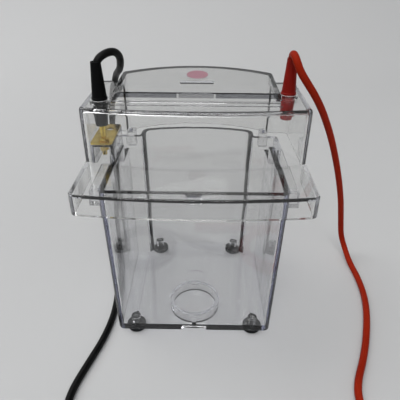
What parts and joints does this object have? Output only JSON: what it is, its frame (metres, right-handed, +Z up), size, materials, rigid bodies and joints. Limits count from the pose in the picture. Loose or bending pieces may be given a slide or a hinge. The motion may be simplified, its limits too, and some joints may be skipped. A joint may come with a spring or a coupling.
{
  "type": "mini gel electrophoresis cell",
  "caption": "Clear buffer tank on rubber feet with a lift-off clear safety lid, gold contact plate, and a black and a red power lead with shrouded plugs.",
  "frame": {"origin": "on the bench under the middle of the lid, the base centre of the cell without its leads", "axes": "+Z up, +X to the side of the red lead, +Y away from the lid's bowed edge"},
  "size_m": [0.2172, 0.2466, 0.1869],
  "materials": {
    "clear_chamber": "clear polished polycarbonate",
    "clear_lid": "clear polished polycarbonate",
    "foot_rubber": "matt dark grey rubber",
    "gold_plating": "bright gold plating",
    "contact_metal": "nickel-bright contact metal",
    "black_moulding": "satin black moulding",
    "red_moulding": "satin deep red moulding",
    "black_boot_rubber": "smooth black rubber",
    "red_boot_rubber": "smooth deep red rubber",
    "black_lead_sheath": "slightly glossy black sheath",
    "red_lead_sheath": "slightly glossy orange-red sheath"
  },
  "bodies": {
    "root": {"buffer_chamber": "clear_chamber", "foot_near_left": "foot_rubber", "foot_near_right": "foot_rubber", "foot_far_left": "foot_rubber", "foot_far_right": "foot_rubber", "contact_plate": "gold_plating", "contact_pin": "gold_plating", "contact_washer": "gold_plating", "contact_nut": "gold_plating", "black_lead_coil": "black_lead_sheath", "black_plug_relief": "black_boot_rubber", "black_plug_body": "black_moulding", "black_plug_pin": "contact_metal", "red_lead_coil": "red_lead_sheath", "red_plug_relief": "red_boot_rubber", "red_plug_body": "red_moulding", "red_plug_pin": "contact_metal"},
    "lid": {"lid_shell": "clear_lid", "black_jack_body": "black_moulding", "black_jack_contact": "contact_metal", "black_boot": "black_boot_rubber", "black_lead": "black_lead_sheath", "red_jack_body": "red_moulding", "red_jack_contact": "contact_metal", "red_boot": "red_boot_rubber", "red_lead": "red_lead_sheath"}
  },
  "joints": [
    {"name": "lid_lift", "type": "slide", "parent": "root", "child": "lid", "axis": [0, 0, 1], "range_m": [0, 0.06]}
  ]
}
